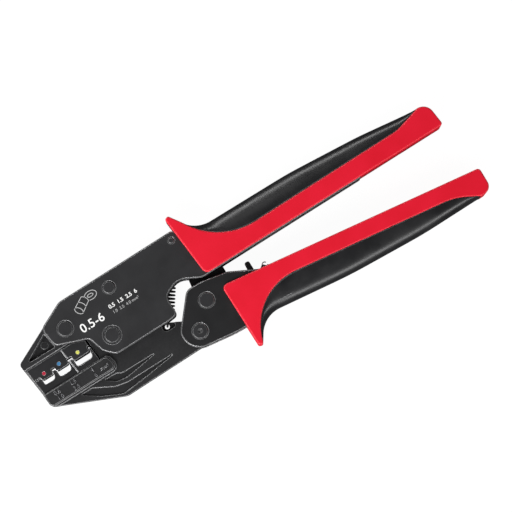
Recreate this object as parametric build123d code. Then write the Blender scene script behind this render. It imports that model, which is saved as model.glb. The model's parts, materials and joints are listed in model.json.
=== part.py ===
from build123d import *
import os
from math import cos, radians, sin, tan

# Ratchet crimping tool for insulated cable terminals, drawn closed. Millimetres.
# +X runs along the fixed handle, +Y points from the moving jaw to the fixed one and
# +Z comes out of the front plate. Every size below is measured from the jaw pivot at
# mid thickness. The last step moves the tool on to the bench: its origin is then the
# middle of its footprint, on the plane that it lies on.

# ---- driving dimensions ----
plate = 3.0  # thickness of the frame and handle plates
gap_half = 4.0  # half of the gap between the two frame plates
frame_half = gap_half + plate
slide_gap = 0.1  # side clearance of what moves between the plates
jaw_half = gap_half - slide_gap
grip_half = 9.0
run_gap = 0.06  # radial clearance of a running pin
fit_gap = 0.02  # radial clearance of a fixed pin
plate_edge = 0.45  # chamfer on the plates' outer edges

jaw_axis = (0.0, 0.0)
handle_axis = (38.4, -21.9)  # moving handle on the moving jaw
link_axis = (49.4, -10.5)  # toggle link on the moving handle
toggle_axis = (61.0, 13.0)  # toggle link on the frame
pawl_axis = (76.0, -16.5)
front_rivet_at = (-18.2, 15.2)
upper_rivet_at = (11.3, 21.1)
anchor_at = (50.3, 24.4)
hook_at = (25.9, -10.6)  # the opening spring's hook
hook_hole_at = (25.6, -10.95)
hook_hole_radius = 1.25
stud_at = (83.3, -11.0)  # on the pawl's arm
pawl_eye_at = (83.85, -10.6)  # middle of the spring's eye round the stud
stud_radius = 0.35
pawl_anchor_at = (100.5, -20.5)

main_rivet_radius = 4.0
upper_rivet_radius = 3.2
anchor_radius = 1.6
jaw_pin_radius = 3.9
jaw_bush_radius = 4.85
toggle_pin_radius = 3.0
toggle_eye_radius = 4.15  # roomy, so that the knuckle can float on its pin
rivet_proud = 0.5
rivet_crown = 0.45  # chamfer on the rivets' ends
sink_ring = 0.25  # width of the countersink round a rivet

# ---- jaws and dies ----
fixed_front_half = 5.5
pad_half = 6.5
pad_step_half = 5.6
pad_edge = 0.5  # chamfer round the size pad
die_edge = 0.2  # chamfer on the dies' thick part
step_edge = 0.5  # wider chamfer where the dies step up to their thick part
end_edge = 0.9  # chamfer on the dies' outer end
small_die_half = 4.8
large_die_half = 5.6
upper_die_top = 7.55
lower_die_bottom = -7.15
left_lean = 0.114  # the dies' outer ends lean this much, in x for each -y
slot_lean = 0.08  # and their inner ends this much
die_left_x = -46.1  # at y = 0
lower_die_right_x = -12.4  # at y = 0
upper_die_right_x = -13.0
hub_side_x = -11.8  # at y = 0
wall_top = 0.75
punch_root = 1.95
heel = 1.25  # the upper die's underside outside its punches
# Each nest: left x, right x, floor y and its punch's y, for small, medium and large terminals.
nests = [(-41.95, -35.3, -3.15, -0.65), (-33.3, -26.1, -3.75, -0.5), (-23.3, -13.8, -4.05, -0.85)]
nest_round = 1.7
punch_gap = 0.25  # at each end of a punch
dot_radius = 0.9
dot_depth = 0.3
dots = {"red": (-39.2, 2.1), "blue": (-30.3, 2.2), "yellow": (-19.3, 2.0)}

# ---- ratchet ----
sector_half = 1.3
sector_tip = 18.2
sector_root = 16.5
sector_release = 15.9
tooth_count = 14
tooth_pitch = 5.4  # degrees
first_tooth = -14.0  # degrees, next to the release gap
pawl_half = 1.25
pawl_pin_radius = 2.0

# ---- springs ----
spring_coil_radius = 2.85
spring_wire_radius = 0.5
spring_coil_pitch = 1.8
pawl_coil_radius = 1.1
pawl_wire_radius = 0.3
pawl_coil_pitch = 0.85
pawl_eye_radius = 1.35
pawl_eye_level = 1.65
pawl_anchor_radius = 1.0
wire_ball = 1.06  # ball at each bend, over the wire's radius

model = {}


# ---- helpers ----
def outline(corners):
    """A face with straight sides between corners (x, y) or (x, y, rounding radius)."""
    points = [Vector(corner[0], corner[1]) for corner in corners]
    rounds = [corner[2] if len(corner) > 2 else 0 for corner in corners]
    starts, middles, ends = [], [], []
    for i, corner in enumerate(points):
        back = (points[i - 1] - corner).normalized()
        ahead = (points[(i + 1) % len(points)] - corner).normalized()
        half_angle = radians(back.get_angle(ahead) / 2)
        reach = rounds[i] / tan(half_angle)
        bulge = rounds[i] / sin(half_angle) - rounds[i]
        starts.append(corner + back * reach)
        ends.append(corner + ahead * reach)
        middles.append(corner + (back + ahead).normalized() * bulge if rounds[i] else corner)
    edges = []
    for i in range(len(points)):
        if rounds[i]:
            edges.append(Edge.make_three_point_arc(starts[i], middles[i], ends[i]))
        following = starts[(i + 1) % len(points)]
        if (following - ends[i]).length > 1e-6:
            edges.append(Edge.make_line(ends[i], following))
    return Face(Wire(edges))


def slab(face, low, high):
    """The face pulled up between two heights."""
    return Pos(0, 0, low) * extrude(face, amount=high - low, dir=(0, 0, 1))


def both_sides(face, inner, outer):
    """The same slab in front of and behind the middle plane."""
    return slab(face, inner, outer) + slab(face, -outer, -inner)


def post(point, radius, low, high):
    return Pos(point[0], point[1], (low + high) / 2) * Cylinder(radius, high - low)


def rivet(point, radius, half_length):
    """A peened rivet: a round bar with its two ends slightly crowned."""
    bar = post(point, radius, -half_length, half_length)
    return chamfer(bar.edges().filter_by(GeomType.CIRCLE), rivet_crown)


def sunk_hole(point, radius, face_z):
    """A hole through a plate, with a shallow countersink on the plate's outer face."""
    side = 1 if face_z > 0 else -1
    bore = post(point, radius, min(face_z - side * plate, face_z), max(face_z - side * plate, face_z))
    wide = radius + sink_ring
    cone = Cone(radius, wide, sink_ring) if side > 0 else Cone(wide, radius, sink_ring)
    return bore + Pos(point[0], point[1], face_z - side * sink_ring / 2) * cone


def outer_edges(part, face_z):
    """The edges that lie in a plate's outer face."""
    return part.edges().filter_by(lambda edge: abs(edge.center().Z - face_z) < 1e-4)


def broken_edges(part, half, size):
    """The part with small chamfers round its front and rear faces."""
    return chamfer(outer_edges(part, half) + outer_edges(part, -half), size)


def edge_cut(start, finish, size):
    """A 45 degree chamfer to take off the edge from start to finish, and off the same edge behind."""
    (x0, y0, z), (x1, y1, _) = start, finish
    reach = 40
    cuts = []
    for height in (z, -z):
        middle = ((x0 + x1) / 2, (y0 + y1) / 2, height)
        place = Plane(origin=middle, x_dir=(x1 - x0, y1 - y0, 0), z_dir=(0, 0, 1))
        cuts.append(place * Rot(45, 0, 0) * Box(reach, size * 2 ** 0.5, size * 2 ** 0.5))
    return cuts[0] + cuts[1]


def outer_end(y):
    """Where the dies' outer ends are at height y."""
    return die_left_x - left_lean * y


def slot_side(x_at_zero, y):
    """One side of the slot between the dies and the moving jaw's hub."""
    return x_at_zero - slot_lean * y


def polar(centre, radius, degrees):
    return (centre[0] + radius * cos(radians(degrees)), centre[1] + radius * sin(radians(degrees)))


def save(name, part):
    """Keep a finished piece until the whole tool is placed."""
    model[name] = part


# ---- frame plates ----
frame_outline = outline([
    (-14.0, 28.4, 6), (52.3, 28.7, 2), (68.0, 17.5, 8), (182, 10.2, 2), (182, 4.0, 2), (150, 3.4, 1.5),
    (148, 0.3, 1), (53.6, 0.3, 8), (42.7, 6.1, 8), (33.1, 2.2, 5), (33.3, -8.65, 2.4), (27.0, -9.3, 3),
    (-3.0, -9.4, 4), (-8.1, -4.3, 6), (-10.7, 4.5, 3.5), (-27.1, 10.5, 4), (-28.6, 21.4, 3.5),
])
upper_spacers_at = [(92, 9.5), (160, 7.6)]
spacer_radius = 2.5
frame_holes = [
    (front_rivet_at, main_rivet_radius), (upper_rivet_at, upper_rivet_radius), (anchor_at, anchor_radius),
    (toggle_axis, toggle_pin_radius),
] + [(point, spacer_radius) for point in upper_spacers_at]


def drilled_plate(face, holes, side):
    """One plate of a pair: chamfered round its outer face, with countersunk rivet holes."""
    face_z = side * frame_half
    body = slab(face, min(side * gap_half, face_z), max(side * gap_half, face_z))
    body = chamfer(outer_edges(body, face_z), plate_edge)
    for point, radius in holes:
        body -= sunk_hole(point, radius + fit_gap, face_z)
    return body


def frame_plate(side):
    body = drilled_plate(frame_outline, frame_holes, side)
    return body - post(jaw_axis, jaw_bush_radius + fit_gap, -frame_half, frame_half)


def slot_tab():
    """A thin lip of the rear plate that closes the jaw slot from behind."""
    face = outline([(-13.9, 6.8), (-6.0, 6.8), (-6.0, -6.3), (-12.4, -6.3, 1)])
    return slab(face, -frame_half, -large_die_half - 0.15)


save("front_side_plate", frame_plate(1))
save("rear_side_plate", frame_plate(-1) + slot_tab())
plate_shadow = offset(frame_outline, 0.15)

# ---- fixed jaw ----
jaw_top_left = (-47.4, 12.1, 2.5)
nose_shoulder = (-24.2, 23.3)
lip_top = 8.3
nose_pocket_floor = 2.3
nose_boss_at = (-31.6, 14.0)
nose_boss_radius = 1.9
hub_clearance_radius = 13.4


def fixed_jaw():
    """The upper jaw: a core riveted between the plates, with a webbed nose in front of them."""
    core = slab(outline([
        (outer_end(upper_die_top), upper_die_top), jaw_top_left, nose_shoulder, (-14.5, 26.9, 4),
        (15.5, 26.9, 3),
        (17.5, 10.5, 3), (10.0, upper_die_top),
    ]), -gap_half, gap_half)
    core -= post(jaw_axis, hub_clearance_radius, -gap_half, gap_half)
    nose = both_sides(outline([
        (outer_end(lip_top), lip_top), jaw_top_left, nose_shoulder, (-14.0, 20.0), (-14.0, lip_top),
    ]), gap_half, fixed_front_half)
    lip = both_sides(outline([
        (outer_end(upper_die_top), upper_die_top), (outer_end(lip_top), lip_top), (-14.0, lip_top),
        (-14.0, upper_die_top),
    ]), gap_half, small_die_half - 0.2)
    pocket = outline([(-44.2, 10.45, 0.7), (-28.7, 18.9, 0.4), (-27.5, 10.3, 0.4)])
    body = core + nose + lip - both_sides(plate_shadow, gap_half, frame_half)
    body -= both_sides(pocket, nose_pocket_floor, fixed_front_half)
    body += both_sides(Pos(*nose_boss_at) * Circle(nose_boss_radius), gap_half / 2, nose_pocket_floor + 0.3)
    for point, radius in ((front_rivet_at, main_rivet_radius), (upper_rivet_at, upper_rivet_radius)):
        body -= post(point, radius + fit_gap, -gap_half, gap_half)
    return body - upper_dowels(fit_gap)


# ---- dies ----
dowel_radius = 1.25
upper_dowels_x = (-37.5, -21.0)
lower_dowels_x = (-38.0, -19.0)


def dowels(xs, low, high, extra):
    """Upright dowels that hold a die to its jaw."""
    pins = [Pos(x, (low + high) / 2, 0) * Rot(90, 0, 0) * Cylinder(dowel_radius + extra, high - low + extra)
            for x in xs]
    return pins[0] + pins[1]


def upper_dowels(extra=0.0):
    return dowels(upper_dowels_x, 4.6, 10.3, extra)


def lower_dowels(extra=0.0):
    return dowels(lower_dowels_x, -10.6, -5.4, extra)


def die_thickness():
    """The dies are thinner at the small and medium nests than at the large one."""
    step_top, step_bottom = (-26.25, 9.0), (-24.15, -9.0)
    small = outline([(-60, 9), step_top, step_bottom, (-60, -9)])
    large = outline([step_top, (-5, 9), (-5, -9), step_bottom])
    return slab(small, -small_die_half, small_die_half) + slab(large, -large_die_half, large_die_half)


def die_cuts():
    """The wide chamfers on the dies' outer end and on their step."""
    end = [(outer_end(y), y, small_die_half) for y in (9.0, -9.0)]
    step = [(-26.25, 9.0, large_die_half), (-24.15, -9.0, large_die_half)]
    return edge_cut(*end, end_edge) + edge_cut(*step, step_edge)


def upper_die():
    corners = [(outer_end(upper_die_top), upper_die_top), (outer_end(heel), heel)]
    root = heel
    for left, right, _, punch in nests:
        corners += [
            (left + punch_gap - 0.2, root, 0.4), (left + punch_gap, punch, 0.7),
            (right - punch_gap, punch, 0.7), (right - punch_gap + 0.2, punch_root, 0.4),
        ]
        root = punch_root
    corners += [(upper_die_right_x, punch_root), (upper_die_right_x, upper_die_top)]
    body = slab(outline(corners), -large_die_half, large_die_half) & die_thickness()
    body -= both_sides(plate_shadow, gap_half - 0.05, frame_half)
    return broken_edges(body, large_die_half, die_edge) - die_cuts() - upper_dowels(fit_gap)


def lower_die():
    corners = [(outer_end(lower_die_bottom), lower_die_bottom), (outer_end(wall_top), wall_top, 0.4)]
    for left, right, floor, _ in nests:
        corners += [
            (left - 0.1, wall_top, 0.5), (left, floor, nest_round), (right, floor, nest_round),
            (right + 0.1, wall_top, 0.5),
        ]
    corners += [(slot_side(lower_die_right_x, wall_top), wall_top, 0.3),
                (slot_side(lower_die_right_x, lower_die_bottom), lower_die_bottom)]
    body = slab(outline(corners), -large_die_half, large_die_half) & die_thickness()
    return broken_edges(body, large_die_half, die_edge) - die_cuts() - lower_dowels(fit_gap)


def die_dot(name):
    point = dots[name]
    half = large_die_half if name == "yellow" else small_die_half
    return post(point, dot_radius, half - dot_depth, half + 0.02)


upper_die_body = upper_die()
for colour in dots:
    upper_die_body -= die_dot(colour)
    save(f"die_dot_{colour}", die_dot(colour))
save("fixed_jaw", fixed_jaw())
save("upper_die", upper_die_body)
save("upper_die_dowels", upper_dowels())
save("lower_die", lower_die())
save("lower_die_dowels", lower_dowels())

# ---- moving jaw ----
hub_radius = 9.7
tail_radius = 7.3
pocket_floor = 2.9
rib_pockets = [
    outline([
        (-15.5, -17.0, 0.3), (-10.3, -20.9, 5), (-4.8, -21.7, 6), (16.4, -18.85, 0.3), (-5.5, -18.6, 2.5),
        (-8.8, -17.0, 0.6),
    ]),
    outline([
        (-29.5, -17.0, 0.3), (-20.6, -23.2, 12), (-10.8, -27.9, 6), (0, -27.0, 15), (24.9, -24.0, 0.3),
        (-5.8, -23.9, 10), (-12.4, -22.5, 8), (-22.6, -17.0, 0.5),
    ]),
]


def lower_jaw():
    """The moving jaw: nose with a size pad, ribbed body, hub on the pivot and tail to the handle."""
    tail_top_x = handle_axis[0] + tail_radius * 0.43
    tail_top_y = handle_axis[1] + tail_radius * 0.903
    shoulder = (outer_end(lower_die_bottom), lower_die_bottom)
    core = slab(outline([
        (-45.0, -14.1, 3), shoulder,
        (slot_side(hub_side_x, lower_die_bottom), lower_die_bottom), (slot_side(hub_side_x, 4.7), 4.7, 1.2),
        (-5.5, 8.5, 3), (5, 8.5, 3), (10.5, -8.0, 3), (24.6, -8.0, 2),
        (36.5, -14.5), (tail_top_x, tail_top_y),
        (handle_axis[0], -29.2), (-9.7, -29.75, 6),
    ]), -jaw_half, jaw_half)
    core += post(jaw_axis, hub_radius, -jaw_half, jaw_half)
    core += post(handle_axis, tail_radius, -jaw_half, jaw_half)
    nose = outline([
        (-45.0, -14.1, 3), shoulder, (-7.0, lower_die_bottom, 2.5), (-5.1, -15.75, 3.4), (-41.2, -15.75),
    ])
    pad = outline([
        (-44.85, -14.0, 2.2), shoulder, (-8.0, lower_die_bottom, 2.5), (-6.1, -14.7, 2.6), (-43.5, -14.7),
    ])
    raised_pad = slab(pad, -pad_half, pad_half)
    body = core + slab(nose, -pad_step_half, pad_step_half) + broken_edges(raised_pad, pad_half, pad_edge)
    for pocket in rib_pockets:
        body -= both_sides(pocket, pocket_floor, jaw_half)
    body -= post(jaw_axis, jaw_pin_radius + run_gap, -jaw_half, jaw_half)
    body -= post(handle_axis, main_rivet_radius + run_gap, -jaw_half, jaw_half)
    body -= post(hook_hole_at, hook_hole_radius, -jaw_half, jaw_half)
    hook_recess = outline([(22.2, -13.0, 2.0), (24.2, -7.0), (32.0, -7.0), (29.2, -13.2, 2.0)])
    body -= both_sides(hook_recess, 1.4, jaw_half)
    return body - lower_dowels(fit_gap)


save("lower_jaw", lower_jaw())

# ---- frame pins ----
jaw_pin = rivet(jaw_axis, jaw_pin_radius, frame_half + rivet_proud)
save("jaw_pivot_pin", jaw_pin)
bush = both_sides(Circle(jaw_bush_radius) - Circle(jaw_pin_radius + fit_gap), gap_half, frame_half + 0.1)
save("jaw_pivot_bushes", bush)
save("front_jaw_rivet", rivet(front_rivet_at, main_rivet_radius, frame_half + rivet_proud))
save("upper_jaw_rivet", rivet(upper_rivet_at, upper_rivet_radius, frame_half + rivet_proud))
save("toggle_pin", rivet(toggle_axis, toggle_pin_radius, frame_half))
save("spring_anchor_pin", rivet(anchor_at, anchor_radius, frame_half + rivet_proud))


def spacers(points, radius):
    """Shouldered rivets that hold two plates apart inside a grip."""
    group = [post(point, radius, -frame_half, frame_half) + post(point, radius + 1.0, -gap_half, gap_half)
             for point in points]
    return group[0] + group[1]


save("upper_handle_spacers", spacers(upper_spacers_at, spacer_radius))

# ---- moving handle plates ----
bracket_outline = outline([
    (43.4, -0.8, 5), (52.0, -1.0, 12), (65.6, -3.7, 5), (84.0, -13.2, 5), (150, -21.7, 1.5),
    (153, -24.6, 1.5), (186, -28.9, 2), (185.5, -35.6, 2), (100, -31.2, 20), (66, -29.8, 6),
    (59.2, -32.4, 1.0), (53.5, -32.15, 6), (29.3, -28.9, 9.7), (29.1, -17.7, 7),
])
lower_spacers_at = [(110, -22.5), (165, -30.5)]
bracket_holes = [
    (handle_axis, main_rivet_radius), (link_axis, main_rivet_radius), (pawl_axis, pawl_pin_radius),
    (pawl_anchor_at, pawl_anchor_radius),
] + [(point, spacer_radius) for point in lower_spacers_at]
save("front_handle_plate", drilled_plate(bracket_outline, bracket_holes, 1))
save("rear_handle_plate", drilled_plate(bracket_outline, bracket_holes, -1))
save("link_pin", rivet(link_axis, main_rivet_radius, frame_half + rivet_proud))
dimple = Pos(handle_axis[0], handle_axis[1], frame_half + rivet_proud - 0.3) * Cone(0.3, 1.3, 0.6)
save("handle_pin", rivet(handle_axis, main_rivet_radius, frame_half + rivet_proud) - dimple)
save("pawl_pin", rivet(pawl_axis, pawl_pin_radius, frame_half))
save("pawl_spring_anchor", rivet(pawl_anchor_at, pawl_anchor_radius, frame_half))
save("lower_handle_spacers", spacers(lower_spacers_at, spacer_radius))

# ---- toggle link and ratchet ----
link_rivets_at = [(54.6, -4.4), (60.4, -7.2)]
link_rivet_radius = 1.5


def link_plate(side):
    face = outline([
        (47.9, 7.5), (45.9, -5.5), link_axis, (61.5, -10.0, 2), (65.3, -5.0, 2), (65.6, 5.0), toggle_axis,
    ])
    low, high = sorted((side * (sector_half + 0.05), side * (jaw_half - 0.05)))
    body = slab(face, low, high) + post(link_axis, 7.0, low, high) + post(toggle_axis, 7.2, low, high)
    body -= post(link_axis, main_rivet_radius + run_gap, low, high)
    body -= post(toggle_axis, toggle_eye_radius, low, high)
    for point in link_rivets_at:
        body -= post(point, link_rivet_radius + fit_gap, low, high)
    return body


def ratchet_sector():
    """The toothed fan on the moving handle's pin, between the two link plates."""
    rim = [polar(link_axis, sector_release, 14), polar(link_axis, sector_release, first_tooth + 1)]
    for tooth in range(tooth_count):
        angle = first_tooth - tooth * tooth_pitch
        rim.append(polar(link_axis, sector_root, angle))
        rim.append(polar(link_axis, sector_tip, angle - tooth_pitch / 2))
    rim.append(polar(link_axis, sector_root, first_tooth - tooth_count * tooth_pitch))
    fan = slab(outline([(47.9, 7.5), (46.2, -5.5), link_axis] + rim[::-1] + [(65.3, 0.0), (62.0, 7.5)]),
               -sector_half, sector_half)
    fan += post(link_axis, 6.5, -sector_half, sector_half)
    fan -= post(link_axis, main_rivet_radius + run_gap, -sector_half, sector_half)
    fan -= post(toggle_axis, toggle_eye_radius, -sector_half, sector_half)
    for point in link_rivets_at:
        fan -= post(point, link_rivet_radius + fit_gap, -sector_half, sector_half)
    return fan


save("front_link_plate", link_plate(1))
save("rear_link_plate", link_plate(-1))
save("ratchet_sector", ratchet_sector())
link_rivets = [post(point, link_rivet_radius, -jaw_half + 0.05, jaw_half - 0.05) for point in link_rivets_at]
save("link_rivets", link_rivets[0] + link_rivets[1])

# ---- pawl ----


def ratchet_pawl():
    """The pawl: a nose that rides on the ratchet, a release finger and an arm for its spring."""
    nose_tip = polar(link_axis, sector_tip + 0.15, -9)
    nose = outline([(*nose_tip, 0.3), (75.5, -12.6), (77.5, -18.9), (71.5, -16.6, 3)])
    finger = outline([(74.6, -14.5), (75.4, -4.4, 1.0), (78.0, -4.6, 1.0), (78.0, -14.5)])
    arm = outline([
        (76.5, -14.5), (80.9, -11.0), (82.8, -9.7, 0.8), (84.4, -11.2, 0.8), (84.4, -13.2, 1.5),
        (78.0, -18.5),
    ])
    body = post(pawl_axis, 3.3, -pawl_half, pawl_half)
    for shape in (nose, finger, arm):
        body += slab(shape, -pawl_half, pawl_half)
    body -= post(pawl_axis, pawl_pin_radius + run_gap, -pawl_half, pawl_half)
    return body - post(stud_at, stud_radius, -pawl_half, pawl_half)


save("ratchet_pawl", ratchet_pawl())
save("pawl_spring_stud", post(stud_at, stud_radius, -pawl_half, 2.4))

# ---- springs ----


def rod(start, finish, radius):
    """A straight piece of wire with ball ends, a little fuller than the wire."""
    length = (finish - start).length
    bar = Pos(0, 0, length / 2) * Cylinder(radius * 0.98, length)
    ball = Sphere(radius * wire_ball)
    return Plane(origin=start, z_dir=(finish - start)) * bar + Pos(start) * ball + Pos(finish) * ball


def coil(start, finish, coil_radius, wire_radius, pitch):
    """Helical wire round the line between two points, in whole turns; also its two wire ends."""
    axis = (finish - start).normalized()
    length = round((finish - start).length / pitch) * pitch
    place = Plane(origin=start, x_dir=Vector(0, 0, 1), z_dir=axis)
    path = place * Helix(pitch, length, coil_radius)
    section = Plane(origin=path @ 0, z_dir=path % 0) * Circle(wire_radius)
    return sweep(section, path=path, is_frenet=True), path @ 0, path @ 1


def ring(point, level, ring_radius, wire_radius):
    return Pos(point[0], point[1], level) * Torus(ring_radius, wire_radius)


def opening_spring():
    """The spring that opens the jaws: a hook over the moving jaw's web, coils, and an eye on a pin."""
    jaw_end, frame_end = Vector(*hook_at), Vector(*anchor_at)
    axis = (frame_end - jaw_end).normalized()
    coils, low_end, high_end = coil(jaw_end + axis * 6.2, frame_end - axis * 5.2, spring_coil_radius,
                                    spring_wire_radius, spring_coil_pitch)
    hook_level = Vector(0, 0, 2.15)
    eye_radius = anchor_radius + spring_wire_radius + 0.1
    over_web = [jaw_end + axis * 4.6 + hook_level, jaw_end + hook_level, jaw_end - hook_level,
                jaw_end + axis * 2.6 - hook_level]
    wire = coils + rod(low_end, over_web[0], spring_wire_radius)
    for i in range(3):
        wire += rod(over_web[i], over_web[i + 1], spring_wire_radius)
    wire += rod(high_end, frame_end - axis * eye_radius, spring_wire_radius)
    return wire + ring(anchor_at, 0, eye_radius, spring_wire_radius)


def pawl_spring():
    """The pawl's spring: an eye on the pawl's stud, coils, and an eye on a pin in the handle."""
    pawl_end = Vector(*pawl_eye_at, pawl_eye_level)
    handle_end = Vector(*pawl_anchor_at, 0)
    axis = (handle_end - pawl_end).normalized()
    coils, near_end, far_end = coil(pawl_end + axis * 4.8, handle_end - axis * 2.4, pawl_coil_radius,
                                    pawl_wire_radius, pawl_coil_pitch)
    far_eye = pawl_anchor_radius + pawl_wire_radius + 0.1
    wire = coils + rod(near_end, pawl_end + axis * pawl_eye_radius, pawl_wire_radius)
    wire += rod(far_end, handle_end - axis * far_eye, pawl_wire_radius)
    wire += ring(pawl_eye_at, pawl_eye_level, pawl_eye_radius, pawl_wire_radius)
    return wire + ring(pawl_anchor_at, 0, far_eye, pawl_wire_radius)


save("opening_spring", opening_spring())
save("pawl_spring", pawl_spring())

# ---- grips ----
edge_round = 0.6  # round the red shells' front and rear faces
upper_grip_outline = [
    (56.0, 0.9, 3), (197.4, 0.9, 1.4), (196.1, 14.0, 6), (158.0, 19.1, 200), (118.0, 22.2, 200),
    (64.05, 22.8, 16), (55.3, 35.7, 1.2), (53.2, 34.9, 1.1),
]
upper_back_outline = [
    (58.0, 32.0), (71.2, 9.95, 35), (176.0, 10.65, 20), (191.5, 14.9), (191.5, 40), (58.0, 40),
]
lower_grip_outline = [
    (59.4, -8.5, 2.6), (200.85, -27.45, 2.0), (200.5, -40.05, 4.6), (160.0, -40.4, 250), (118.0, -38.05, 250),
    (69.8, -32.13, 14.5), (61.6, -44.4, 1.1), (59.5, -43.5, 0.9),
]
lower_back_outline = [
    (62.2, -43.6), (69.95, -18.5, 29.9), (182.3, -33.5, 33), (197.5, -42.0), (197.5, -60), (62.2, -60),
]


def grip(grip_corners, back_corners, plates, slot_corners):
    """A hard shell with a soft back, hollow for the two handle plates."""
    whole = outline(grip_corners)
    body = slab(whole, -grip_half, grip_half)
    body -= slab(offset(plates, 0.1), -frame_half - 0.1, frame_half + 0.1)
    body -= slab(outline(slot_corners), -frame_half - 0.1, frame_half + 0.1)
    back = slab(outline(back_corners), -grip_half, grip_half)
    shell = body - back
    shell = fillet(outer_edges(shell, grip_half) + outer_edges(shell, -grip_half), edge_round)
    return shell, body & back


upper_shell, upper_inlay = grip(
    upper_grip_outline, upper_back_outline, frame_outline,
    [(50, -2), (50, 21), (69, 21), (80, 10), (147.5, 6), (147.5, -2)],
)
lower_shell, lower_inlay = grip(
    lower_grip_outline, lower_back_outline, bracket_outline,
    [(50, 0), (50, -31), (68, -31), (100, -22), (147, -28), (147, -10), (100, 0)],
)
save("upper_grip_shell", upper_shell)
save("upper_grip_back", upper_inlay)
save("lower_grip_shell", lower_shell)
save("lower_grip_back", lower_inlay)

# ---- placing on the bench ----
box = Compound(list(model.values())).bounding_box()
bench = Pos(-(box.min.X + box.max.X) / 2, -(box.min.Y + box.max.Y) / 2, -box.min.Z)
os.makedirs("parts", exist_ok=True)
for name, part in model.items():
    placed = bench * part
    placed.label = name
    export_step(placed, f"parts/{name}.step")
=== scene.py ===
import json
import math

import bmesh
import bpy
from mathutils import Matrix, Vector, geometry

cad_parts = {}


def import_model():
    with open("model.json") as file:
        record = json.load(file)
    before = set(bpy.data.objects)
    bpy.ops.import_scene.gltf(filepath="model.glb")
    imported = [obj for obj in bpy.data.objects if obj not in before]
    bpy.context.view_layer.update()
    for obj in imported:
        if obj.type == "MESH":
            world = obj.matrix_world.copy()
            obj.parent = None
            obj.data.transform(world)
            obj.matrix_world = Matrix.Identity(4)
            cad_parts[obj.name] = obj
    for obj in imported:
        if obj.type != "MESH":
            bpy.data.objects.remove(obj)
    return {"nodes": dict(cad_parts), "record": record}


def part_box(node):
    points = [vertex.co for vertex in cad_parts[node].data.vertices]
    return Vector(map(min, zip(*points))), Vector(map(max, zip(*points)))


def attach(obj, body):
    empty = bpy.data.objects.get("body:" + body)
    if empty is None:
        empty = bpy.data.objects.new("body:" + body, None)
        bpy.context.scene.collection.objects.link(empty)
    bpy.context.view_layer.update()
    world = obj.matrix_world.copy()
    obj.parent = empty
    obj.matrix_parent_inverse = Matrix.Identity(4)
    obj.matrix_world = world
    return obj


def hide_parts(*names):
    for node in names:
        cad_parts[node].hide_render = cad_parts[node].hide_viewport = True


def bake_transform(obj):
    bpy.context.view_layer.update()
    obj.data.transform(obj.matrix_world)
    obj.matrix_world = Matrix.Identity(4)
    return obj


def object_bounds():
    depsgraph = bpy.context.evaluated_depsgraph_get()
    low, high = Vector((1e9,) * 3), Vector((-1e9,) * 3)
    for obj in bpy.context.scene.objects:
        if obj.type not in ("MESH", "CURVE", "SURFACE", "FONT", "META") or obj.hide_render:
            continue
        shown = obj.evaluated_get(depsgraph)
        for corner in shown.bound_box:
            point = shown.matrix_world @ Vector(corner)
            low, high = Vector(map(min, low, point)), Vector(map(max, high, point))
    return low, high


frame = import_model()
cad_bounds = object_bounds()

MM = 0.001  # metres in a millimetre


def node_centre(node):
    low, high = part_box(node)
    return (low + high) / 2


# Tool coordinates, in millimetres: from the jaw pivot at mid thickness, +X along the fixed
# handle, +Y towards the fixed jaw and +Z out of the front plate.
pivot = node_centre("jaw_pivot_pin")


def at(x, y, z=0.0):
    """A point in tool coordinates as a point of the scene."""
    return pivot + Vector((x, y, z)) * MM


def top_of(node):
    """Height of a node's front face over mid thickness, in millimetres."""
    return (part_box(node)[1].z - pivot.z) / MM


def tool_point(node):
    """A node's middle in tool coordinates, at mid thickness."""
    place = (node_centre(node) - pivot) / MM
    return Vector((place.x, place.y, 0))


def radius_of(node):
    """Radius of an upright pin, in millimetres."""
    low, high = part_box(node)
    return (high.x - low.x) / 2 / MM


plate_face = top_of("front_side_plate")
pad_face = top_of("lower_jaw")
grip_face = top_of("upper_grip_shell")


# ---- meshes ----
def new_mesh(name, verts, faces, smooth=True):
    """A mesh object from tool coordinates."""
    mesh = bpy.data.meshes.new(name)
    mesh.from_pydata([at(*v) for v in verts], [], faces)
    mesh.validate()
    mesh.update()
    for face in mesh.polygons:
        face.use_smooth = smooth
    thing = bpy.data.objects.new(name, mesh)
    bpy.context.scene.collection.objects.link(thing)
    return thing


def outward(thing):
    """Make every face look outwards."""
    work = bmesh.new()
    work.from_mesh(thing.data)
    bmesh.ops.recalc_face_normals(work, faces=work.faces)
    work.to_mesh(thing.data)
    work.free()


def as_mesh(thing):
    """Turn a text object into a mesh object of the same name."""
    bpy.context.view_layer.update()
    ready = thing.evaluated_get(bpy.context.evaluated_depsgraph_get())
    solid = bpy.data.objects.new("solid", bpy.data.meshes.new_from_object(ready))
    solid.matrix_world = thing.matrix_world
    bpy.context.scene.collection.objects.link(solid)
    name = thing.name
    bpy.data.objects.remove(thing)
    solid.name = name
    return solid


arc_step = 1.5  # degrees between the points of an arc


def path(corners):
    """Points along straight sides between corners (x, y), or (x, y, radius) where the corner is rounded."""
    points = []
    for i, corner in enumerate(corners):
        here = Vector(corner[:2])
        if len(corner) == 2:
            points.append(here)
            continue
        radius = corner[2]
        back = (Vector(corners[i - 1][:2]) - here).normalized()
        ahead = (Vector(corners[i + 1][:2]) - here).normalized()
        half_angle = back.angle(ahead) / 2
        centre = here + (back + ahead).normalized() * radius / math.sin(half_angle)
        spoke = here + back * radius / math.tan(half_angle) - centre
        turn = math.pi - 2 * half_angle
        if back.x * ahead.y - back.y * ahead.x > 0:
            turn = -turn
        steps = max(2, math.ceil(abs(math.degrees(turn)) / arc_step))
        for k in range(steps + 1):
            angle = turn * k / steps
            points.append(centre + Vector((spoke.x * math.cos(angle) - spoke.y * math.sin(angle),
                                           spoke.x * math.sin(angle) + spoke.y * math.cos(angle))))
    return points


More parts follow.
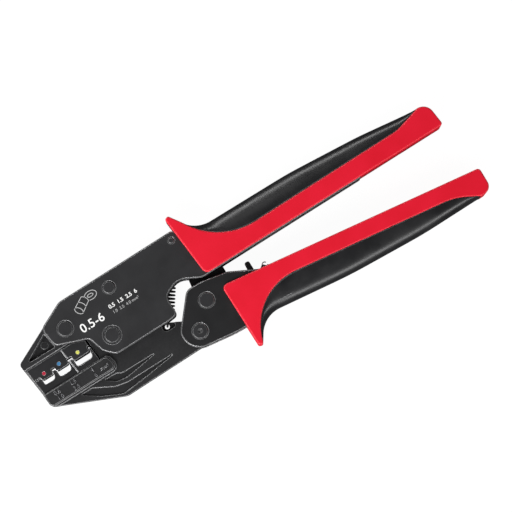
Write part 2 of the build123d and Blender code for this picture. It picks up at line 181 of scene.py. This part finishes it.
def spread(points, count, bend):
    """The same path as count evenly spaced points, where a radian of turning counts as bend millimetres."""
    lengths = [0.0]
    for i, (a, b) in enumerate(zip(points, points[1:])):
        turn = (b - a).angle(points[i + 2] - b, 0.0) if i < len(points) - 2 else 0.0
        lengths.append(lengths[-1] + (b - a).length + turn * bend)
    result, k = [], 0
    for i in range(count):
        goal = lengths[-1] * i / (count - 1)
        while k < len(points) - 2 and lengths[k + 1] < goal:
            k += 1
        span = lengths[k + 1] - lengths[k] or 1.0
        result.append(points[k].lerp(points[k + 1], min(1.0, (goal - lengths[k]) / span)))
    return result


def tube(name, centres, radius, sides=12):
    """Round wire along a path of points, closed at both ends."""
    verts, faces = [], []
    tangent = (centres[1] - centres[0]).normalized()
    across = tangent.orthogonal().normalized()
    last = len(centres) - 1
    for i, centre in enumerate(centres):
        tangent = (centres[min(i + 1, last)] - centres[max(i - 1, 0)]).normalized()
        across = (across - tangent * across.dot(tangent)).normalized()
        other = tangent.cross(across)
        for k in range(sides):
            angle = 2 * math.pi * k / sides
            verts.append(centre + (across * math.cos(angle) + other * math.sin(angle)) * radius)
    for i in range(last):
        for k in range(sides):
            a, b = i * sides + k, i * sides + (k + 1) % sides
            faces.append((a, b, b + sides, a + sides))
    faces.append(tuple(reversed(range(sides))))
    faces.append(tuple(range(last * sides, (last + 1) * sides)))
    return new_mesh(name, verts, faces)


# ---- materials ----
class Shader:
    """A material under construction: nodes are added by type and joined by their sockets."""

    def __init__(self, name):
        self.material = bpy.data.materials.new(name)
        self.material.use_nodes = True
        self.tree = self.material.node_tree
        self.surface = self.tree.nodes["Principled BSDF"]
        self.coords = self.add("ShaderNodeTexCoord").outputs["Object"]

    def add(self, kind, **inputs):
        node = self.tree.nodes.new(kind)
        for key, value in inputs.items():
            self.put(node.inputs[key.replace("_", " ")], value)
        return node

    def put(self, socket, value):
        """Set a socket to a number or colour, or join it to another node's output."""
        if isinstance(value, bpy.types.NodeSocket):
            self.tree.links.new(value, socket)
        else:
            socket.default_value = value

    def noise(self, size, detail=2.0, roughness=0.5):
        """Noise with features of about this size, in millimetres."""
        node = self.add("ShaderNodeTexNoise", Vector=self.coords, Scale=1 / (size * MM),
                        Detail=detail, Roughness=roughness)
        return node.outputs[0]

    def ramp(self, value, low, high, out_low=0.0, out_high=1.0):
        """Turn values from low to high into values from out_low to out_high."""
        node = self.add("ShaderNodeMapRange", Value=value)
        node.inputs["From Min"].default_value = low
        node.inputs["From Max"].default_value = high
        node.inputs["To Min"].default_value = out_low
        node.inputs["To Max"].default_value = out_high
        return node.outputs[0]

    def maths(self, operation, a, b):
        node = self.tree.nodes.new("ShaderNodeMath")
        node.operation = operation
        self.put(node.inputs[0], a)
        self.put(node.inputs[1], b)
        return node.outputs[0]

    def mix(self, share, a, b):
        node = self.tree.nodes.new("ShaderNodeMix")
        node.data_type = "RGBA"
        self.put(node.inputs["Factor"], share)
        self.put(node.inputs["A"], (*a, 1.0) if isinstance(a, tuple) else a)
        self.put(node.inputs["B"], (*b, 1.0) if isinstance(b, tuple) else b)
        return node.outputs["Result"]

    def bevel(self, radius):
        """Normals rounded off along the edges, with this radius in millimetres."""
        node = self.tree.nodes.new("ShaderNodeBevel")
        node.samples = 6
        node.inputs["Radius"].default_value = radius * MM
        return node.outputs[0]

    def edges(self, radius):
        """1 along sharp edges, 0 elsewhere."""
        true_normal = self.add("ShaderNodeNewGeometry").outputs["Normal"]
        node = self.tree.nodes.new("ShaderNodeVectorMath")
        node.operation = "DOT_PRODUCT"
        self.put(node.inputs[0], self.bevel(radius))
        self.put(node.inputs[1], true_normal)
        flat, sharp = 0.997, 0.93  # how far the rounded normal agrees with the true one
        return self.ramp(node.outputs["Value"], flat, sharp)

    def bump(self, height, depth, normal=None):
        """Relief of this depth in millimetres, on top of another normal where one is given."""
        node = self.add("ShaderNodeBump", Height=height, Distance=depth * MM, Strength=1.0)
        if normal:
            self.put(node.inputs["Normal"], normal)
        return node.outputs[0]

    def finish(self, colour, roughness, metallic=0.0, normal=None, **others):
        self.put(self.surface.inputs["Base Color"], colour)
        self.put(self.surface.inputs["Roughness"], roughness)
        self.put(self.surface.inputs["Metallic"], metallic)
        if normal:
            self.put(self.surface.inputs["Normal"], normal)
        for key, value in others.items():
            self.put(self.surface.inputs[key.replace("_", " ")], value)
        return self.material


def steel(name, dark, light, pale_tone, metallic, roughness, grain, depth, rounding, edge_wear_and_highlight):
    """A metal surface: mottled colour, fine grain, rounded edges lightened towards bright metal, partly as
    wear and partly as a painted highlight.

    Grain, depth and rounding are in millimetres, and the last argument says how strongly the edges are
    lightened, as wear and as a painted highlight, from 0 to 1.
    """
    cloud_size, break_size = 9.0, 1.6
    s = Shader(name)
    cloud = s.noise(cloud_size, 3.0)
    speck = s.noise(grain, 4.0, 0.65)
    mottle = s.maths("ADD", s.maths("MULTIPLY", cloud, 0.6), s.maths("MULTIPLY", speck, 0.4))
    breaks = s.ramp(s.noise(break_size, 3.0), 0.3, 0.6, edge_wear_and_highlight * 0.6, edge_wear_and_highlight)
    # Edges lightened to a paler, more metallic tone: partly real wear, partly a painted highlight where light
    # catches them.
    wear_and_highlight = s.maths("MULTIPLY", s.edges(rounding), breaks)
    colour = s.mix(wear_and_highlight, s.mix(s.ramp(mottle, 0.35, 0.65), dark, light), pale_tone)
    grainy = s.ramp(speck, 0.2, 0.8, roughness - 0.06, roughness + 0.08)
    polished = s.maths("SUBTRACT", grainy, s.maths("MULTIPLY", wear_and_highlight, 0.12))
    bared = s.maths("MAXIMUM", metallic, s.maths("MULTIPLY", wear_and_highlight, 0.8))
    return s.finish(colour, polished, bared, s.bump(speck, depth, s.bevel(rounding)))


def blackened(name, roughness, grain, depth, rounding, edge_wear_and_highlight, level=1.0):
    """Steel with a black oxide finish, level times as light as usual."""
    dark = tuple(c * level for c in (0.009, 0.009, 0.010))
    light = tuple(c * level for c in (0.017, 0.017, 0.0185))
    # Pale edge colour: partly wear down to bare steel, partly a painted edge highlight.
    pale_tone = (0.58, 0.58, 0.59)
    return steel(name, dark, light, pale_tone, 0.0, roughness, grain, depth, rounding, edge_wear_and_highlight)


def bare(name, tint, roughness, grain=0.4, depth=0.008):
    """Uncoated steel."""
    dark = tuple(c * 0.72 for c in tint)
    # Paler edge colour: partly wear, partly a painted edge highlight.
    pale_tone = tuple(min(1.0, c * 1.3) for c in tint)
    return steel(name, dark, tint, pale_tone, 1.0, roughness, grain, depth, rounding=0.15, edge_wear_and_highlight=0.8)


def moulded_red():
    """Hard glossy plastic with a faint orange peel, painted paler along its rims as a highlight."""
    s = Shader("grip_red")
    deep, bright, rim_highlight = (0.63, 0.006, 0.021), (0.68, 0.008, 0.027), (0.90, 0.22, 0.24)
    cloud = s.noise(14.0, 2.0)
    peel = s.noise(0.9, 2.0)
    fine = s.noise(0.16, 3.0, 0.6)
    rim = s.edges(0.8)
    colour = s.mix(s.ramp(cloud, 0.3, 0.7), deep, bright)
    # Painted highlight: the rims are mixed towards a pale pink, as where light catches the shell's edges.
    colour = s.mix(s.maths("MULTIPLY", rim, 0.3), colour, rim_highlight)
    height = s.maths("ADD", s.maths("MULTIPLY", peel, 0.7), s.maths("MULTIPLY", fine, 0.3))
    normal = s.bump(height, 0.02, s.bevel(0.9))
    return s.finish(colour, s.ramp(fine, 0.3, 0.7, 0.36, 0.46), 0.0, normal,
                    Specular_IOR_Level=s.ramp(rim, 0.0, 1.0, 0.25, 0.9))


def moulded_black():
    """Soft black rubber with a satin skin and a little dust."""
    s = Shader("grip_black")
    deep, pale_tone, dust = (0.006, 0.006, 0.007), (0.011, 0.011, 0.012), (0.020, 0.020, 0.021)
    fine = s.noise(0.4, 3.0, 0.6)
    cloud = s.noise(11.0, 2.0)
    dusty = s.ramp(s.noise(2.5, 4.0, 0.6), 0.52, 0.72, 0.0, 0.25)
    colour = s.mix(dusty, s.mix(s.ramp(cloud, 0.3, 0.7), deep, pale_tone), dust)
    return s.finish(colour, s.ramp(cloud, 0.3, 0.7, 0.30, 0.36), 0.0, s.bump(fine, 0.005))


def enamel(name, tint):
    """A drop of glossy paint in a drilled spot."""
    s = Shader(name)
    swirl = s.ramp(s.noise(0.5, 2.0), 0.3, 0.7)
    colour = s.mix(swirl, tuple(c * 0.8 for c in tint), tint)
    return s.finish(colour, 0.25, 0.0, s.bump(s.noise(0.9), 0.05), Coat_Weight=0.6)


def printed_ink(name, tint):
    """Pad-printed ink, thin enough that the steel's grain breaks it up."""
    s = Shader(name)
    thin = s.ramp(s.noise(0.35, 4.0, 0.7), 0.42, 0.30, 0.0, 0.5)
    colour = s.mix(thin, tint, (0.25, 0.25, 0.25))
    return s.finish(colour, 0.55, 0.0, s.bump(s.noise(0.2), 0.01))


materials = {
    "blackened_plate": blackened("blackened_plate", roughness=0.42, grain=0.32, depth=0.010,
                                 rounding=0.5, edge_wear_and_highlight=0.75),
    "blackened_handle": blackened("blackened_handle", roughness=0.37, grain=0.32, depth=0.010,
                                  rounding=0.5, edge_wear_and_highlight=0.9, level=0.6),
    "blackened_casting": blackened("blackened_casting", roughness=0.42, grain=0.55, depth=0.022,
                                   rounding=0.45, edge_wear_and_highlight=0.55, level=0.7),
    "blackened_die": blackened("blackened_die", roughness=0.34, grain=0.25, depth=0.006,
                               rounding=0.4, edge_wear_and_highlight=1.0),
    "blackened_rivet": blackened("blackened_rivet", roughness=0.40, grain=0.30, depth=0.012,
                                 rounding=0.3, edge_wear_and_highlight=0.4, level=1.1),
    "spacer_steel": bare("spacer_steel", (0.42, 0.42, 0.43), 0.38),
    "dowel_steel": bare("dowel_steel", (0.50, 0.50, 0.51), 0.30),
    # Painted shade: the link's steel is made near-black for the deep shade it sits in between the plates.
    "link_steel": bare("link_steel", (0.018, 0.018, 0.019), 0.42),
    "ratchet_steel": bare("ratchet_steel", (0.20, 0.20, 0.21), 0.36),
    "spring_black": blackened("spring_black", roughness=0.30, grain=0.3, depth=0.004,
                              rounding=0.1, edge_wear_and_highlight=0.5),
    "spring_bright": bare("spring_bright", (0.62, 0.62, 0.63), 0.24, grain=0.3, depth=0.003),
    "grip_red": moulded_red(),
    "grip_black": moulded_black(),
    "dot_red": enamel("dot_red", (0.42, 0.025, 0.05)),
    "dot_blue": enamel("dot_blue", (0.05, 0.20, 0.40)),
    "dot_yellow": enamel("dot_yellow", (0.62, 0.62, 0.12)),
}
white_ink = printed_ink("printed_white", (0.80, 0.80, 0.79))
grey_ink = printed_ink("printed_grey", (0.42, 0.42, 0.42))
# Painted highlight: the raised figures use blackened steel four times lighter than usual, for the light
# catching their relief.
raised_painted_highlight = blackened("raised_painted_highlight", roughness=0.36, grain=0.3, depth=0.01,
                         rounding=0.15, edge_wear_and_highlight=1.0, level=4.0)


def paint(thing, material):
    thing.data.materials.clear()
    thing.data.materials.append(material)


def soften(thing):
    """Shade a CAD node smoothly across its curved faces only."""
    for face in thing.data.polygons:
        face.use_smooth = True
    thing.data.set_sharp_from_angle(angle=math.radians(28))


def finish_nodes():
    """Give each CAD node its slot's finish, and the darker pieces at the handle's root their own."""
    darker_nodes = ("front_handle_plate", "rear_handle_plate", "link_rivets", "toggle_pin")
    for part in frame["record"]["subparts"]:
        node = frame["nodes"][part["node"]]
        slot = "blackened_handle" if part["node"] in darker_nodes else part["material_slot"]
        paint(node, materials[slot])
        soften(node)


finish_nodes()


# ---- soft backs of the grips ----
back_half = grip_face - 0.2  # the backs stand a little lower than the shells
back_round = 0.9  # radius of their edge beside the seam
back_fullness = 0.75  # 1 is a round spine, less is a squarer one
back_bend = 30  # millimetres of path that a radian of turning counts as, so that tight bends get more rows


def crossings(line, other):
    """Where two paths cross: (segment of line, segment of other, point)."""
    found = []
    for i, (a, b) in enumerate(zip(line, line[1:])):
        for k, (c, d) in enumerate(zip(other, other[1:])):
            point = geometry.intersect_line_line_2d(a, b, c, d)
            if point:
                found.append((i, k, point))
    return found


def lens(grip_outline, seam_outline):
    """The seam's and the grip outline's stretches between the two points where they cross."""
    seam, rim = path(seam_outline), path(grip_outline)
    first, last = sorted(crossings(seam, rim), key=lambda crossing: crossing[0])
    inner = [first[2]] + seam[first[0] + 1:last[0] + 1] + [last[2]]
    low, high = sorted((first, last), key=lambda crossing: crossing[1])
    outer = [low[2]] + rim[low[1] + 1:high[1] + 1] + [high[2]]
    return inner, outer if low is first else outer[::-1]


def under_round(distance, radius):
    """How far a rounded edge of this radius has dropped at a distance from the rim."""
    inside = max(0.0, radius - distance)
    return radius - math.sqrt(max(0.0, radius * radius - inside * inside))


def crowned_back(name, outlines, body, node, rows=120, columns=36):
    """A soft back, lens shaped from the front: crowned from its seam with the shell over to its spine."""
    inner, outer = (spread(line, rows, back_bend) for line in lens(*outlines))
    verts, faces = [], []
    for i in range(rows):
        width = (outer[i] - inner[i]).length
        for k in range(columns + 1):
            turn = math.pi * k / columns
            out = math.sin(turn)
            rise = abs(math.cos(turn)) ** back_fullness
            height = min(back_half * rise, grip_face - under_round(width * (1 - out), back_round))
            point = inner[i].lerp(outer[i], out)
            verts.append((point.x, point.y, math.copysign(height, math.cos(turn))))
    across = columns + 1
    for i in range(rows - 1):
        for k in range(columns):
            a = i * across + k
            faces.append((a, a + 1, a + 1 + across, a + across))
        faces.append((i * across, (i + 1) * across, (i + 1) * across + columns, i * across + columns))
    faces.append(tuple(range(across)))
    faces.append(tuple(reversed(range((rows - 1) * across, rows * across))))
    back = new_mesh(name, verts, faces)
    outward(back)
    paint(back, materials["grip_black"])
    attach(back, body)
    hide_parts(node)


# Each grip's outline on its back's side, and the seam between shell and back.
upper_rim = [(197.4, 0.9), (196.1, 14.0, 6), (158.0, 19.1, 200), (118.0, 22.2, 200), (64.05, 22.8, 16),
             (55.3, 35.7)]
upper_seam = [(58.0, 32.0), (71.2, 9.95, 35), (176.0, 10.65, 20), (191.5, 14.9)]
lower_rim = [(200.85, -27.45), (200.5, -40.05, 4.6), (160.0, -40.4, 250), (118.0, -38.05, 250),
             (69.8, -32.13, 14.5), (61.6, -44.4)]
lower_seam = [(62.2, -43.6), (69.95, -18.5, 29.9), (182.3, -33.5, 33), (197.5, -42.0)]
crowned_back("upper_soft_back", (upper_rim, upper_seam), "frame", "upper_grip_back")
crowned_back("lower_soft_back", (lower_rim, lower_seam), "moving_handle", "lower_grip_back")


# ---- springs ----
eye_gap = 0.1  # between an eye's wire and its pin


def eased(points, steps):
    """A smooth curve through the points."""
    result = []
    ends = [points[0] * 2 - points[1]] + points + [points[-1] * 2 - points[-2]]
    for before, start, finish, after in zip(ends, ends[1:], ends[2:], ends[3:]):
        for k in range(steps):
            t = k / steps
            result.append(0.5 * (start * 2 + (finish - before) * t
                                 + (before * 2 - start * 5 + finish * 4 - after) * t * t
                                 + (start * 3 - before - finish * 3 + after) * t ** 3))
    return result + [points[-1]]


def turns(start, axis, side, radius, pitch, count, steps=28):
    """Points round a coil: from start along axis, beginning at side."""
    other = axis.cross(side)
    points = []
    for k in range(count * steps + 1):
        angle = 2 * math.pi * k / steps
        spoke = side * math.cos(angle) + other * math.sin(angle)
        points.append(start + axis * (pitch * k / steps) + spoke * radius)
    return points


def eye(centre, towards, radius, steps=14):
    """Most of a loop round a pin, ending on the side that faces the coil."""
    other = Vector((-towards.y, towards.x, 0))
    flat = Vector((towards.x, towards.y, 0))
    sweep = math.radians(300)
    points = []
    for k in range(steps + 1):
        angle = sweep * k / steps - sweep
        points.append(centre + (flat * math.cos(angle) + other * math.sin(angle)) * radius)
    return points


def opening_spring():
    """Coils between an eye on the anchor pin and a hook over the moving jaw's web."""
    wire, coil, pitch = 0.5, 2.85, 1.8  # radius of the wire, radius of the coils, rise of a turn
    lead, tail = 6.2, 5.2  # from the hook to the first turn, and from the last turn to the pin
    pin = tool_point("spring_anchor_pin")
    hook = Vector((25.9, -10.6, 0))  # the hole in the moving jaw's web
    axis = (pin - hook).normalized()
    up = Vector((0, 0, 1))
    count = round(((pin - hook).length - lead - tail) / pitch)
    reach = 2.15  # how far the hook stands off mid thickness
    bends = ((2.6, -1), (0.6, -1), (-0.25, -0.7), (-0.25, 0.7), (0.6, 1), (4.4, 1))
    hooked = [hook + axis * along + up * reach * share for along, share in bends]
    coils = turns(hook + axis * lead, axis, up, coil, pitch, count)
    loop = eye(pin, -axis, radius_of("spring_anchor_pin") + wire + eye_gap)[::-1]
    spring = tube("opening_spring_wire", eased(hooked + coils[:1], 6) + coils[1:] + eased(loop, 3), wire)
    paint(spring, materials["spring_black"])
    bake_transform(spring)
    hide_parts("opening_spring")


def pawl_spring():
    """Fine coils between an eye on the pawl's stud and an eye on a pin in the handle."""
    wire, coil, pitch = 0.27, 1.1, 0.85
    lead, tail = 4.8, 2.4  # from the stud's eye to the first turn, and from the last turn to the pin
    stud, pin = tool_point("pawl_spring_stud"), tool_point("pawl_spring_anchor")
    loop = stud + Vector((0.55, 0.4, 1.65))  # the eye hangs a little off the stud's middle, in front
    axis = (pin - loop).normalized()
    side = axis.cross(Vector((0, 0, 1))).normalized()
    count = round(((pin - loop).length - lead - tail) / pitch)
    coils = turns(loop + axis * lead, axis, side, coil, pitch, count)
    near = eye(loop, axis, 1.3)
    far = eye(pin, -axis, radius_of("pawl_spring_anchor") + wire + eye_gap)[::-1]
    spring = tube("pawl_spring_wire", eased(near, 3) + coils + eased(far, 3), wire, sides=10)
    paint(spring, materials["spring_bright"])
    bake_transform(spring)
    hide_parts("pawl_spring")


opening_spring()
pawl_spring()


# ---- marks ----
ink_lift = 0.03  # how far print stands off its face


def ribbons(name, lines, width, face, lift, material, body):
    """Flat strokes of one width along paths (points, closed), lying on a face."""
    verts, faces = [], []
    top = face + lift
    for points, closed in lines:
        count, base = len(points), len(verts)
        for i, point in enumerate(points):
            before = points[i - 1] if closed or i else point
            after = points[(i + 1) % count] if closed or i < count - 1 else point
            along = (after - before).normalized()
            across = Vector((-along.y, along.x)) * width / 2
            for edge, height in ((across, face), (across, top), (-across, top), (-across, face)):
                verts.append((point.x + edge.x, point.y + edge.y, height))
        for i in range(count if closed else count - 1):
            a, b = base + i * 4, base + (i + 1) % count * 4
            for k in range(4):
                faces.append((a + k, b + k, b + (k + 1) % 4, a + (k + 1) % 4))
        if not closed:
            faces.append(tuple(range(base, base + 4)))
            faces.append(tuple(reversed(range(base + count * 4 - 4, base + count * 4))))
    mark = new_mesh(name, verts, faces, smooth=False)
    outward(mark)
    paint(mark, material)
    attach(mark, body)


def ellipse(centre, long, short, tilt, start=0, finish=360, steps=40):
    """Points on an ellipse, in tool coordinates and degrees."""
    slope = math.radians(tilt)
    points = []
    for k in range(steps if finish - start == 360 else steps + 1):
        angle = math.radians(start + (finish - start) * k / steps)
        x, y = long * math.cos(angle), short * math.sin(angle)
        points.append(Vector((centre[0] + x * math.cos(slope) - y * math.sin(slope),
                              centre[1] + x * math.sin(slope) + y * math.cos(slope))))
    return points


def terminal_pictogram():
    """A ring terminal in outline: the ring, and a ribbed barrel that slants down from it."""
    tilt = 32  # of the barrel, in degrees
    along = Vector((math.cos(math.radians(tilt)), math.sin(math.radians(tilt))))
    across = Vector((-along.y, along.x))
    ring, hole = (1.4, 22.8), (1.3, 22.85)
    mouth, mouth_half = Vector((-7.55, 19.2)), 2.35
    neck, neck_half = mouth + along * 6.4, 2.1
    lines = [
        (ellipse(ring, 3.35, 2.2, 0, -120, 165), False),
        (ellipse(hole, 1.6, 0.75, 0), True),
        (ellipse(mouth, mouth_half, 1.3, tilt + 90), True),
    ]
    rib_bulge = 0.95
    for side in (across, -across):
        lines.append(([mouth + side * mouth_half, neck + side * neck_half], False))
    for share in (0.5, 1.0):
        half = mouth_half + (neck_half - mouth_half) * share
        lines.append((ellipse(mouth.lerp(neck, share), half, rib_bulge, tilt + 90, 180, 360, 18), False))
    stroke = 0.36
    ribbons("terminal_pictogram", lines, stroke, plate_face, ink_lift, grey_ink, "frame")


def lettering(name, text, corner, size, face, lift, material, body, soft=0.0, spacing=1.0, bold=0.0):
    """A line of figures from its lower left corner, lying on a face."""
    data = bpy.data.curves.new(name, "FONT")
    data.body = text
    data.size = size * MM
    data.space_character = spacing
    data.offset = bold * MM
    data.extrude = lift / 2 * MM
    data.bevel_depth = soft * MM
    data.bevel_resolution = 1
    figures = bpy.data.objects.new(name, data)
    bpy.context.scene.collection.objects.link(figures)
    figures.location = at(corner[0], corner[1], face + lift / 2)
    figures = as_mesh(figures)
    paint(figures, material)
    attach(figures, body)


def size_print():
    """The wire range and sizes, printed on the front plate."""
    lettering("range_print", "0.5-6", (-11.9, 8.5), 6.3, plate_face, ink_lift, white_ink, "frame",
              spacing=1.05, bold=0.06)
    lettering("sizes_print", "0.5  1.5  2.5  6", (6.0, 11.7), 2.8, plate_face, ink_lift, white_ink, "frame",
              bold=0.07)
    lettering("unit_print", "1.0  2.5  4.0 mm\u00b2", (6.4, 8.6), 2.2, plate_face, ink_lift, grey_ink,
              "frame")


def raised_sizes():
    """The wire sizes, raised on the moving jaw's pad below their nests."""
    upper_row, lower_row, unit_row = -10.5, -13.6, -12.4
    marks = (("0.5", -40.2, upper_row), ("1.5", -30.9, upper_row), ("4", -18.4, upper_row),
             ("1.0", -39.9, lower_row), ("2.5", -30.6, lower_row), ("6", -18.2, lower_row))
    sunk, lift, soft = 0.02, 0.3, 0.04  # into the pad, height of a figure, rounding of its edges
    foot = pad_face - sunk
    for text, x, row in marks:
        name = "raised_" + text.replace(".", "_")
        lettering(name, text, (x, row), 3.0, foot, lift, raised_painted_highlight, "moving_jaw", soft)
    lettering("raised_unit", "mm\u00b2", (-14.2, unit_row), 2.7, foot, lift, raised_painted_highlight, "moving_jaw", soft)


terminal_pictogram()
size_print()
raised_sizes()


# ---- camera, lights, floor ----
def aim(thing, target):
    thing.rotation_euler = (Vector(target) - thing.location).to_track_quat("-Z", "Y").to_euler()


def camera():
    """A long lens above the front face, square enough to it that the tool is seen flat."""
    data = bpy.data.cameras.new("camera")
    data.lens = 200
    data.clip_end = 20
    view = bpy.data.objects.new("camera", data)
    bpy.context.scene.collection.objects.link(view)
    place, target = (22.3, -99.7, 1431.6), (82.5, -4.5, 0)
    view.location = at(*place)
    aim(view, at(*target))
    bpy.context.scene.camera = view


lamp_distance = 0.9  # metres from the tool


def softbox(name, direction, elevation, width, height, power):
    """A soft light that faces the tool from a compass direction, in degrees from +X."""
    data = bpy.data.lights.new(name, "AREA")
    data.shape = "RECTANGLE"
    data.size = width
    data.size_y = height
    data.energy = power
    lamp = bpy.data.objects.new(name, data)
    bpy.context.scene.collection.objects.link(lamp)
    turn, rise = math.radians(direction), math.radians(elevation)
    towards = Vector((math.cos(turn) * math.cos(rise), math.sin(turn) * math.cos(rise), math.sin(rise)))
    lamp.location = towards * lamp_distance
    aim(lamp, (0, 0, 0))


def lights():
    """One high key and its fill, a low light for the edges, and a long band along each side of the grips."""
    softbox("key", direction=215, elevation=44, width=0.4, height=0.4, power=6.4)
    softbox("fill", direction=110, elevation=50, width=0.5, height=0.5, power=1.2)
    softbox("rim", direction=198, elevation=9, width=0.9, height=0.3, power=8.0)
    softbox("upper_band", direction=95, elevation=20, width=1.2, height=0.2, power=6.0)
    softbox("lower_band", direction=-85, elevation=20, width=1.2, height=0.2, power=6.0)


def floor():
    """A wide dull floor just under the tool, which glows white for the camera alone."""
    half, drop = 3.0, 0.0002  # metres
    corners = [(-half, -half, 0), (half, -half, 0), (half, half, 0), (-half, half, 0)]
    mesh = bpy.data.meshes.new("floor")
    mesh.from_pydata(corners, [], [(0, 1, 2, 3)])
    ground = bpy.data.objects.new("floor", mesh)
    ground.location.z = cad_bounds[0][2] - drop
    bpy.context.scene.collection.objects.link(ground)
    s = Shader("floor_white")
    seen = s.add("ShaderNodeLightPath").outputs["Is Camera Ray"]
    dull = s.mix(s.noise(400.0), (0.07, 0.07, 0.07), (0.09, 0.09, 0.09))
    s.finish(dull, 0.9, Specular_IOR_Level=0.0, Emission_Color=(1, 1, 1, 1),
             Emission_Strength=s.maths("MULTIPLY", seen, 0.96))
    paint(ground, s.material)


def world():
    """Plain white surroundings, dim enough that the lamps do the work."""
    sky = bpy.data.worlds.new("studio")
    sky.use_nodes = True
    background = sky.node_tree.nodes["Background"]
    background.inputs["Color"].default_value = (1, 1, 1, 1)
    background.inputs["Strength"].default_value = 0.10
    bpy.context.scene.world = sky


camera()
floor()
world()
lights()
bpy.context.scene.view_settings.view_transform = "Standard"
